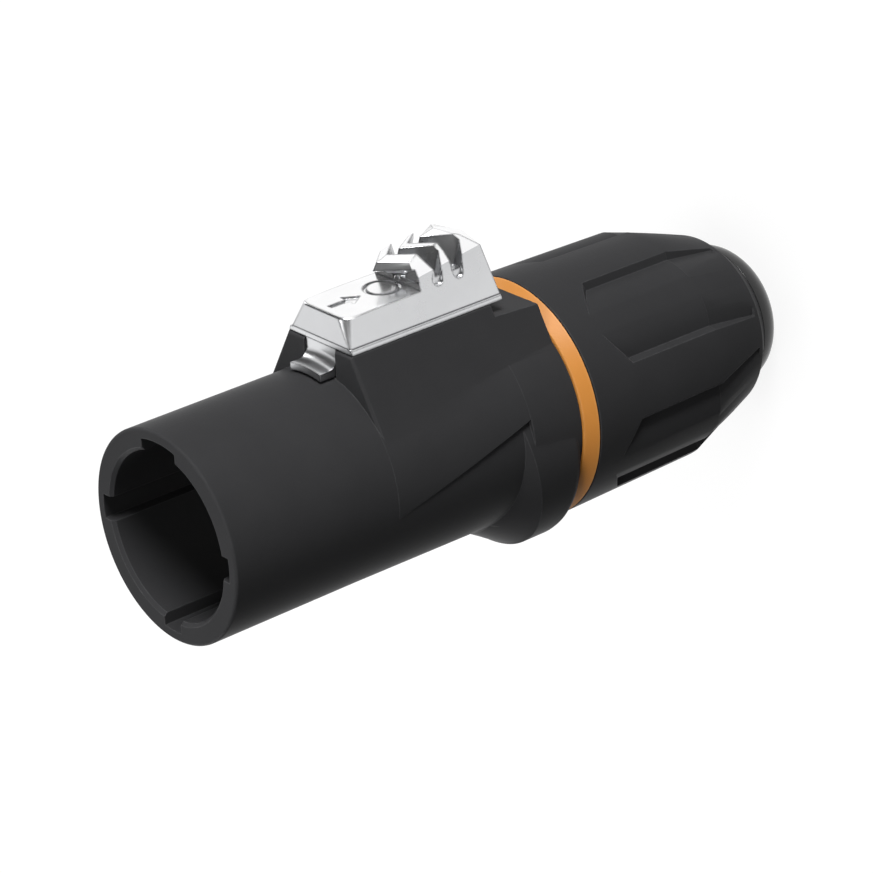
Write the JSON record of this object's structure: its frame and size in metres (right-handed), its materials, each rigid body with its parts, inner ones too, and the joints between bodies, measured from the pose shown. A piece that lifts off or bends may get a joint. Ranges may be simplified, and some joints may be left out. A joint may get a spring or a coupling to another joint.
{
  "type": "locking power connector",
  "caption": "Round locking power connector for a mains cable, with a keyed barrel, a sprung metal slide latch, a coloured seal ring and a tapered screw-on back nut.",
  "frame": {"origin": "on the connector's axis, at the cable end", "axes": "+Z along the axis toward the mating mouth, +Y toward the slide latch, +X to the right seen from the mouth with the latch up"},
  "size_m": [0.0256, 0.0357, 0.0756],
  "materials": {
    "black_plastic": "satin moulded black plastic with a fine grain",
    "orange_plastic": "satin orange plastic",
    "chromed_zinc": "bright satin chrome on die-cast zinc",
    "spring_steel": "plain steel",
    "black_rubber": "smooth black rubber",
    "grey_plastic": "moulded dark grey plastic",
    "contact_brass": "turned brass"
  },
  "bodies": {
    "body": {"housing": "black_plastic", "seal_ring": "orange_plastic", "latch_spring": "spring_steel", "mating_gasket": "black_rubber", "contact_carrier": "grey_plastic", "carrier_seal": "black_rubber", "carrier_lock_ring": "black_plastic", "contact_line": "contact_brass", "contact_neutral": "contact_brass", "contact_earth": "contact_brass", "terminal_screws": "spring_steel", "clamp_plates": "spring_steel", "cable_collet": "grey_plastic", "cable_seal": "black_rubber"},
    "latch": {"latch_slide": "chromed_zinc"},
    "gland": {"cable_grommet": "black_rubber"},
    "nut": {"back_nut": "black_plastic"}
  },
  "joints": [
    {"name": "latch_pull", "type": "slide", "parent": "body", "child": "latch", "axis": [0, 0, -1], "range_m": [0, 0.0035], "stiffness_N_per_m": 1200, "springref_m": -0.0025, "deforming": ["latch_spring"]},
    {"name": "nut_back", "type": "slide", "parent": "body", "child": "gland", "axis": [0, 0, -1], "range_m": [0, 0.0062]},
    {"name": "nut_turn", "type": "hinge", "parent": "gland", "child": "nut", "pos_m": [0, 0, 0.02], "axis": [0, 0, -1], "range_deg": [0, 1440]}
  ],
  "couplings": [
    {"joint": "nut_back", "follows": "nut_turn", "m_per_rad": 0.00023873}
  ]
}
